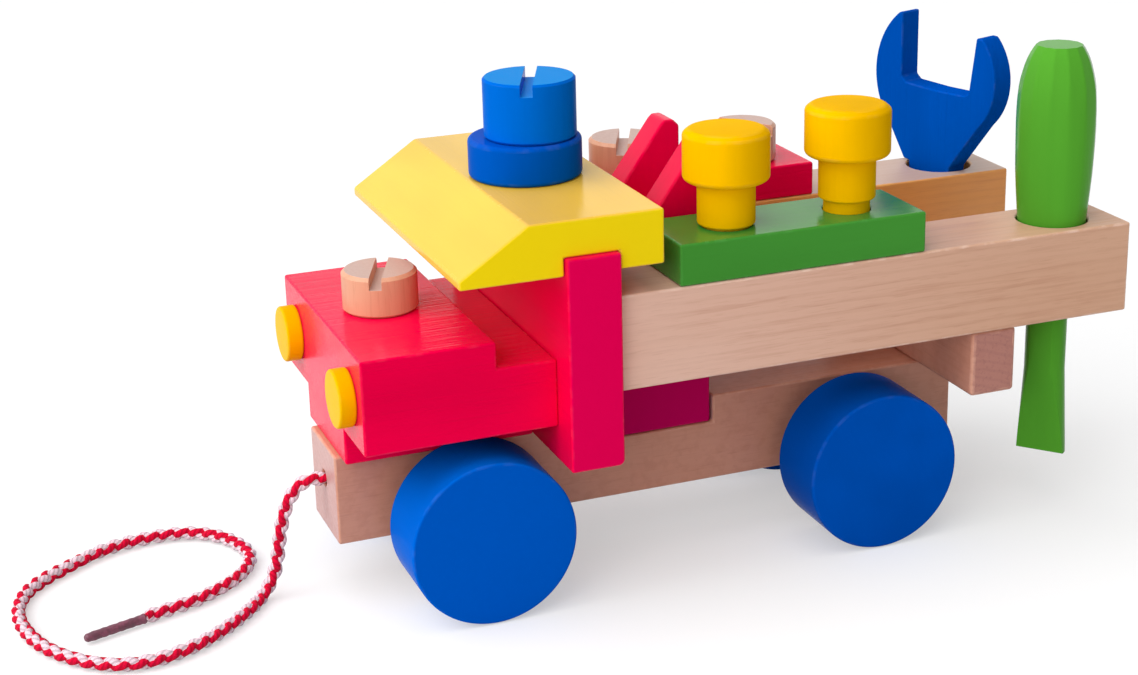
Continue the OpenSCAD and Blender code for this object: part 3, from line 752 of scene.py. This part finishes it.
class TRUCK_OT_hood(bpy.types.Operator):
    """Shape the T-section hood with its rear shelf"""

    bl_idname = "truck.hood"
    bl_label = "Hood"

    def execute(self, context):
        s = sizes()
        low, high = corners("hood_block")
        stem, foot = s.stem_width / 2, low.z + s.stem_height
        outline = [(low.x, y, z) for y, z in (
            (MID_Y - stem, low.z), (MID_Y + stem, low.z), (MID_Y + stem, foot), (high.y, foot), (high.y, high.z),
            (low.y, high.z), (low.y, foot), (MID_Y - stem, foot))]
        hood = carved(
            prism(outline, (high.x - low.x, 0, 0)),
            block((low.x - OVER, low.y - OVER, high.z - s.shelf_drop),
                  (low.x + s.shelf_length, high.y + OVER, high.z + OVER)))
        piece(eased(hood), "hood_painted", "hood_block", "truck",
              gloss_paint("red_paint", colours().red, "x", lines=0.8))
        return {"FINISHED"}


class TRUCK_OT_headlights(bpy.types.Operator):
    """Turn the two headlight discs on their tenons"""

    bl_idname = "truck.headlights"
    bl_label = "Headlights"

    def execute(self, context):
        tenon, face = 0.005, corners("hood_block")[1].x
        # painted highlight: the lamps' front faces (ends) are a paler yellow than their rims
        paint = gloss_paint("peg_yellow_paint", colours().peg_yellow, "x", 0.006, ends=(0.92, 0.50, 0.008))
        for cad_node in ("headlight_left", "headlight_right"):
            low, high = corners(cad_node)
            r, back, front = (high.z - low.z) / 2, low.x - face, high.x - face
            lamp = eased(turned([(0, back), (tenon, back), (tenon, 0), (r, 0), (r, front), (0, front)], 72))
            spun(lamp, Matrix.Rotation(math.pi / 2, 3, "Y"))
            moved(lamp, face, (low.y + high.y) / 2, (low.z + high.z) / 2)
            piece(lamp, f"{cad_node}_disc", cad_node, "truck", paint)
        return {"FINISHED"}


class TRUCK_OT_cab(bpy.types.Operator):
    """Cut the upright cab plate and the grooved, sloped roof"""

    bl_idname = "truck.cab"
    bl_label = "Cab Plate and Roof"

    def execute(self, context):
        plate_low, plate_high = corners("cab_plate")
        plate = block(plate_low, plate_high)
        near = 1e-5
        worn = [e for e in plate.edges
                if all((v.co - plate_low).x < near and (v.co - plate_low).z < near for v in e.verts)]
        bmesh.ops.bevel(plate, geom=worn, offset=0.0022, offset_type="OFFSET", segments=5, profile=0.5, affect="EDGES")
        # painted shade: the plate's sides (its ends across the grain) are a darker, more crimson red for the shade
        # under the roof
        piece(eased(plate), "cab_plate_painted", "cab_plate", "truck",
              gloss_paint("cab_red_shaded_sides_paint", colours().red, "y", ends=(0.79, 0.0, 0.082)))
        low, high = corners("cab_roof")
        play, lip, slope = 0.0002, 0.0033, 0.0245
        rear, front = plate_low.x - play, plate_high.x + play
        outline = [(x, low.y, z) for x, z in (
            (low.x, low.z), (rear, low.z), (rear, plate_high.z), (front, plate_high.z), (front, low.z),
            (high.x, low.z), (high.x, low.z + lip), (high.x - slope, high.z), (low.x, high.z))]
        roof = prism(outline, (0, high.y - low.y, 0))
        # painted light and shade: the roof's top and slope are a deeper yellow and its sides (ends) a lighter, more
        # lemon one, evening out the front light
        piece(eased(roof, least=20), "cab_roof_painted", "cab_roof", "truck",
              gloss_paint("roof_yellow_paint", colours().roof_yellow, "y", 0.24, ends=(0.91, 0.675, 0.004)))
        return {"FINISHED"}


class TRUCK_OT_roof_ring(bpy.types.Operator):
    """Turn the washer ring under the roof bolt"""

    bl_idname = "truck.roof_ring"
    bl_label = "Roof Ring"

    def execute(self, context):
        low, high = corners("roof_ring")
        r, tall = (high.x - low.x) / 2, high.z - low.z
        ring = eased(turned([(0, 0), (r, 0), (r, tall), (0, tall)]), 0.0017, 4)
        mid = middle("roof_ring")
        piece(moved(ring, mid.x, mid.y, low.z), "roof_ring_painted", "roof_ring", "truck",
              gloss_paint("blue_paint", colours().blue, "z", 0.003))
        return {"FINISHED"}


class TRUCK_OT_screws(bpy.types.Operator):
    """Turn the slotted wooden screws and the roof bolt"""

    bl_idname = "truck.screws"
    bl_label = "Screws and Bolt"

    def execute(self, context):
        s = sizes()
        # painted light: the bolt's top and bottom (its ends) are a lighter, more cyan blue than its sides
        paint = gloss_paint("bolt_blue_paint", colours().bolt_blue, "z", 0.003, ends=(0.0, 0.25, 0.72))
        bare = (0.0145, 0.0012, 0.007, "natural_wood", natural_wood("z", "screw"))
        painted = (0.0214, 0.0008, 0.006, "blue_paint", paint)
        point, taper, under = 0.0015, 0.002, 0.0008
        for cad_node, slot_turn, (head, chamfer, shank, slot, material) in (
                ("hood_screw", 68, bare), ("strip_screw_front", 65, bare), ("strip_screw_rear", 120, bare),
                ("roof_bolt", 67, painted)):
            low, high = corners(cad_node)
            r, foot = (high.x - low.x) / 2, low.z - (high.z - head)
            screw = turned([
                (0, foot), (shank - point, foot), (shank, foot + taper), (shank, 0), (r - under, 0), (r, under),
                (r, head - chamfer), (r - chamfer, head), (0, head)])
            cutter = block((-r * 2, -s.slot_width / 2, head - s.slot_depth), (r * 2, s.slot_width / 2, head + OVER))
            spun(cutter, Matrix.Rotation(math.radians(slot_turn), 3, "Z"))
            eased(carved(screw, cutter), 0.0006)
            mid = middle(cad_node)
            piece(moved(screw, mid.x, mid.y, high.z - head), f"{cad_node}_turned", cad_node, f"{cad_node}_turn",
                  material)
        return {"FINISHED"}


class TRUCK_OT_load_bed(bpy.types.Operator):
    """Cut the side rails with their tool holes, and the rear crossbar"""

    bl_idname = "truck.load_bed"
    bl_label = "Rails and Crossbar"

    def execute(self, context):
        wrench_hole = corners("right_rail")[0] + Vector((0.02135, 0.01475, 0))
        blind = 0.021
        # the right rail's amber wood is painted shade and bounce light on its sides
        for cad_node, holders, r, tool, tool_r, tone in (
                ("left_rail", PEGS, PEG_HOLE, middle("screwdriver"), 0.0132, "rail"),
                ("right_rail", STRIP_SCREWS, SCREW_HOLE, wrench_hole, 0.0129, "amber")):
            low, high = corners(cad_node)
            mid_y = middle(cad_node).y
            holes = [upright(tool.x, tool.y, low.z - OVER, high.z + OVER, tool_r)]
            holes += [upright(middle(held).x, mid_y, high.z - blind, high.z + OVER, r) for held in holders]
            rail = carved(block(low, high), *holes)
            piece(eased(rail), f"{cad_node}_wood", cad_node, "truck", natural_wood("x", tone))
        crossbar = eased(block(*corners("rear_crossbar")), 0.0016, 4)
        piece(crossbar, "rear_crossbar_wood", "rear_crossbar", "truck",
              natural_wood("y", "warm", (0.0, -0.055, 0.075)))
        return {"FINISHED"}


class TRUCK_OT_strips(bpy.types.Operator):
    """Cut and drill the green peg strip and the red screw strip"""

    bl_idname = "truck.strips"
    bl_label = "Strips"

    def execute(self, context):
        green = gloss_paint("strip_green_paint", colours().strip_green, "x", 0.32)
        red = gloss_paint("red_paint", colours().red, "x", lines=0.8)
        for cad_node, holders, r, slot, material in (
                ("green_strip", PEGS, PEG_HOLE, "green_paint", green),
                ("red_strip", STRIP_SCREWS, SCREW_HOLE, "red_paint", red)):
            low, high = corners(cad_node)
            mid_y = middle(cad_node).y
            holes = [upright(middle(held).x, mid_y, low.z - OVER, high.z + OVER, r) for held in holders]
            piece(eased(carved(block(low, high), *holes)), f"{cad_node}_painted", cad_node, "truck", material)
        return {"FINISHED"}


class TRUCK_OT_pegs(bpy.types.Operator):
    """Turn the two hammer pegs"""

    bl_idname = "truck.pegs"
    bl_label = "Pegs"

    def execute(self, context):
        paint = gloss_paint("peg_yellow_paint", colours().peg_yellow, "z", 0.001)
        neck, tip, shoulder, under = 0.0103, 0.0084, 0.034, 0.0495
        point, crown = 0.002, (0.0022, 0.0018)
        for cad_node in PEGS:
            low, high = corners(cad_node)
            r, tall = (high.x - low.x) / 2, high.z - low.z
            peg = turned([
                (0, 0), (tip - point, 0), (tip, point), (tip, shoulder), (neck, shoulder), (neck, under),
                (r - 0.0015, under), (r, under + 0.0012), (r, tall - crown[1]), (r - crown[0], tall), (0, tall)])
            eased(peg, 0.0008)
            mid = middle(cad_node)
            piece(moved(peg, mid.x, mid.y, low.z), f"{cad_node}_turned", cad_node, f"{cad_node}_drive",
                  paint)
        return {"FINISHED"}


class TRUCK_OT_hammer(bpy.types.Operator):
    """Cut the hammer's forked head and turn its handle"""

    bl_idname = "truck.hammer"
    bl_label = "Hammer"

    def execute(self, context):
        s = sizes()
        low, high = corners("hammer_head")
        rail_low, rail_high = corners("left_rail")
        beam_low, beam_high = corners("chassis_beam")
        narrow, wide = (beam_high.y - beam_low.y) / 2, (high.y - low.y) / 2
        deep, tip, nick, blunt, reach = 0.036, 0.006, 0.0015, 0.0025, 0.06
        outline = [(low.x + x, low.y, z) for x, z in (
            (0, low.z), (deep, low.z), (deep, rail_high.z), (tip + nick, high.z - nick), (tip, high.z), (blunt, high.z),
            (0, high.z - blunt))]
        shoulder = low.z + 0.022
        flare = shoulder + wide - narrow
        sides = [
            prism([(low.x - OVER, MID_Y + way * y, z) for y, z in (
                (narrow, low.z - OVER), (wide + OVER, low.z - OVER), (wide + OVER, flare), (wide, flare),
                (narrow, shoulder))], (reach, 0, 0))
            for way in (-1, 1)]
        gap, claw_floor = s.claw_gap / 2, rail_high.z + 0.002
        handle_low, handle_high = corners("hammer_handle")
        axis_z, r = (handle_low.z + handle_high.z) / 2, (handle_high.z - handle_low.z) / 2
        head = carved(
            prism(outline, (0, 2 * wide, 0)), *sides,
            block((low.x - OVER, MID_Y - gap, claw_floor), (high.x + OVER, MID_Y + gap, high.z + OVER)),
            rod((low.x - OVER, MID_Y, axis_z), (high.x + OVER, MID_Y, axis_z), r))
        # painted shade: the head is a darker, purple red below the rails' underside, where it sits in their shade
        piece(eased(head), "hammer_head_painted", "hammer_head", "hammer",
              gloss_paint("hammer_red_paint", colours().red, "z", foot=(rail_low.z, (0.54, 0.0, 0.100))))
        long, end = handle_high.x - handle_low.x, 0.003
        handle = eased(turned([(0, 0), (r - end, 0), (r, end), (r, long), (0, long)], 72), 0.0008)
        moved(spun(handle, Matrix.Rotation(math.pi / 2, 3, "Y")), handle_low.x, MID_Y, axis_z)
        piece(handle, "hammer_handle_wood", "hammer_handle", "hammer", natural_wood("x"))
        return {"FINISHED"}


def arc(x, z, r, start, stop, steps):
    """Points on an arc about a point, between two angles in degrees."""
    turns = [math.radians(start + (stop - start) * k / steps) for k in range(steps + 1)]
    return [(x + r * math.cos(a), z + r * math.sin(a)) for a in turns]


class TRUCK_OT_wrench(bpy.types.Operator):
    """Cut the flat open-ended wrench"""

    bl_idname = "truck.wrench"
    bl_label = "Wrench"

    def execute(self, context):
        jaw = sizes().jaw_width
        low = corners("wrench")[0]
        rail_low, rail_high = corners("right_rail")
        mid_z, thick = rail_high.z + 0.034, 0.010
        foot, mouth = low.z - mid_z, rail_high.z - mid_z
        shank_mid, neck = -0.0017, 0.01079
        left_top, right_top = 0.0275, 0.0224
        # left cheek, shank and right cheek
        outline = [(-0.46 * jaw, left_top), *arc(0, 0.002, 0.032, 127.2, 221.2, 30)]
        outline += [(-0.0155, mouth + 0.001), (shank_mid - neck, mouth + 0.0005)]
        outline += arc(shank_mid, foot + neck, neck, 180, 360, 20)
        outline += [(shank_mid + neck, mouth + 0.0008), *arc(0.0064, 0.0045, 0.0253, -46.0, 45.0, 26)]
        # leaning right wall, floor and left wall of the jaw
        wall = 0.48 + (0.6 - 0.48) * (right_top + 0.0004) / 0.0324
        outline += [(wall * jaw, right_top), (0.48 * jaw, -0.0004), (0.42 * jaw, -0.0018),
                    (0, -0.0018), (-0.4 * jaw, -0.001), (-0.46 * jaw, 0.001)]
        wrench = prism([(x, 0, z) for x, z in outline], (0, thick, 0))
        eased(moved(wrench, 0, -thick / 2, 0), 0.0007, least=25)
        spun(wrench, Matrix.Rotation(math.radians(108), 3, "Z"))
        moved(wrench, rail_low.x + 0.022, (rail_low.y + rail_high.y) / 2, mid_z)
        piece(wrench, "wrench_painted", "wrench", "wrench_tool",
              gloss_paint("wrench_blue_paint", colours().blue, "z", 0.0, lines=1.0))
        return {"FINISHED"}


class TRUCK_OT_screwdriver(bpy.types.Operator):
    """Turn the screwdriver, carve its lengthwise flats and its blade"""

    bl_idname = "truck.screwdriver"
    bl_label = "Screwdriver"

    def execute(self, context):
        rail_top = corners("left_rail")[1].z
        tip = corners("screwdriver")[0].z - rail_top
        # radius and height above the rail in millimetres
        barrel = [(r / 1000, z / 1000) for r, z in (
            (12.8, 0), (13.3, 6), (13.8, 12), (14.2, 18), (14.45, 24), (14.6, 30), (14.7, 36), (14.66, 42), (14.5, 46),
            (14.15, 50), (13.65, 53), (13, 55.7), (12.3, 58.2), (11.45, 60.6), (10.5, 62.7), (9.4, 64.6), (8.4, 66))]
        shank = 0.0077
        profile = [(0, tip), (0.0094, tip), (shank, tip + 0.034), (shank, -0.019), (0.011, -0.014), *barrel, (0, 0.066)]
        driver = turned(profile, 104)
        # thirteen long flats, faint on the barrel and plain at its crown
        flat = 2 * math.pi / 13
        faint, crown, fade = 0.25, 0.034, 0.016
        for vert in driver.verts:
            x, y, z = vert.co
            if z > 0:
                off = math.atan2(y, x) % flat - flat / 2
                share = faint + (1 - faint) * min(1.0, max(0.0, (z - crown) / fade))
                pull = 1 - share + share * math.cos(flat / 2) / math.cos(off)
                vert.co = (x * pull, y * pull, z)
        # two leaning cuts leave the blade
        edge, root, blade, below = 0.0015, 0.0087, 0.051, 0.001
        lean = math.atan2(root - edge, blade)
        for way in (-1, 1):
            cut = bmesh.ops.bisect_plane(
                driver, geom=driver.verts[:] + driver.edges[:] + driver.faces[:], plane_co=(0, way * edge, tip - below),
                plane_no=(0, way * math.cos(lean), -math.sin(lean)))
            doomed = []
            for face in driver.faces:
                spot = face.calc_center_median()
                if spot.z < tip + 0.05 and way * spot.y > edge + (spot.z - tip + below) * math.tan(lean) + 1e-7:
                    doomed.append(face)
            bmesh.ops.delete(driver, geom=doomed, context="FACES")
            rims = [e for e in cut["geom_cut"] if isinstance(e, bmesh.types.BMEdge) and e.is_valid and e.is_boundary]
            bmesh.ops.edgeloop_fill(driver, edges=rims)
        bmesh.ops.recalc_face_normals(driver, faces=driver.faces)
        spun(driver, Matrix.Rotation(math.radians(130), 3, "Z"))
        mid = middle("screwdriver")
        moved(driver, mid.x, mid.y, rail_top)
        piece(driver, "screwdriver_painted", "screwdriver", "screwdriver_tool",
              gloss_paint("driver_green_paint", colours().driver_green, "z", 0.06), smooth=40.0)
        return {"FINISHED"}


class TRUCK_OT_wheels(bpy.types.Operator):
    """Turn the four wheels with their inner hubs"""

    bl_idname = "truck.wheels"
    bl_label = "Wheels"

    def execute(self, context):
        # painted light: the front wheels' treads are a lighter blue and their faces (ends) a little darker, both
        # lighter than the rear wheels
        paints = {
            "front": gloss_paint("front_blue_paint", colours().lit_front_blue, "y", 0.0015, ends=(0.0, 0.096, 0.545)),
            "rear": gloss_paint("blue_paint", colours().blue, "y", 0.003)}
        tread, hub_r = 0.028, 0.011
        for cad_node in ("front_left_wheel", "front_right_wheel", "rear_left_wheel", "rear_right_wheel"):
            low, high = corners(cad_node)
            r, mid = (high.z - low.z) / 2, (low + high) / 2
            way = 1 if mid.y > MID_Y else -1
            hub = high.y - low.y - tread
            wheel = turned([(0, 0), (hub_r, 0), (hub_r, hub), (r, hub), (r, hub + tread), (0, hub + tread)], 128)
            spun(eased(wheel, 0.0010, 4), Matrix.Rotation(-way * math.pi / 2, 3, "X"))
            moved(wheel, mid.x, low.y if way > 0 else high.y, mid.z)
            axle = cad_node.split("_")[0]
            piece(wheel, f"{cad_node}_painted", cad_node, f"{axle}_wheelset", paints[axle])
        return {"FINISHED"}


PIECES = (
    TRUCK_OT_stage, TRUCK_OT_pull_cord, TRUCK_OT_chassis, TRUCK_OT_hood, TRUCK_OT_headlights, TRUCK_OT_cab,
    TRUCK_OT_roof_ring, TRUCK_OT_screws, TRUCK_OT_load_bed, TRUCK_OT_strips, TRUCK_OT_pegs, TRUCK_OT_hammer,
    TRUCK_OT_wrench, TRUCK_OT_screwdriver, TRUCK_OT_wheels)


class TRUCK_PT_panel(bpy.types.Panel):
    """Sizes, colours and pieces of the truck"""

    bl_idname = "TRUCK_PT_panel"
    bl_label = "Wooden Truck"
    bl_space_type = "VIEW_3D"
    bl_region_type = "UI"
    bl_category = "Truck"

    def draw(self, context):
        for group in (context.scene.truck_sizes, context.scene.truck_colours):
            column = self.layout.column()
            for name in group.__annotations__:
                column.prop(group, name)
        for operator in PIECES:
            self.layout.operator(operator.bl_idname)


CLASSES = (TruckSizes, TruckColours, *PIECES, TRUCK_PT_panel)


def register():
    for cls in CLASSES:
        bpy.utils.register_class(cls)
    bpy.types.Scene.truck_sizes = bpy.props.PointerProperty(type=TruckSizes)
    bpy.types.Scene.truck_colours = bpy.props.PointerProperty(type=TruckColours)


def unregister():
    del bpy.types.Scene.truck_colours
    del bpy.types.Scene.truck_sizes
    for cls in reversed(CLASSES):
        bpy.utils.unregister_class(cls)


def main():
    register()
    for operator in PIECES:
        family, name = operator.bl_idname.split(".")
        getattr(getattr(bpy.ops, family), name)()


if __name__ == "__main__":
    main()
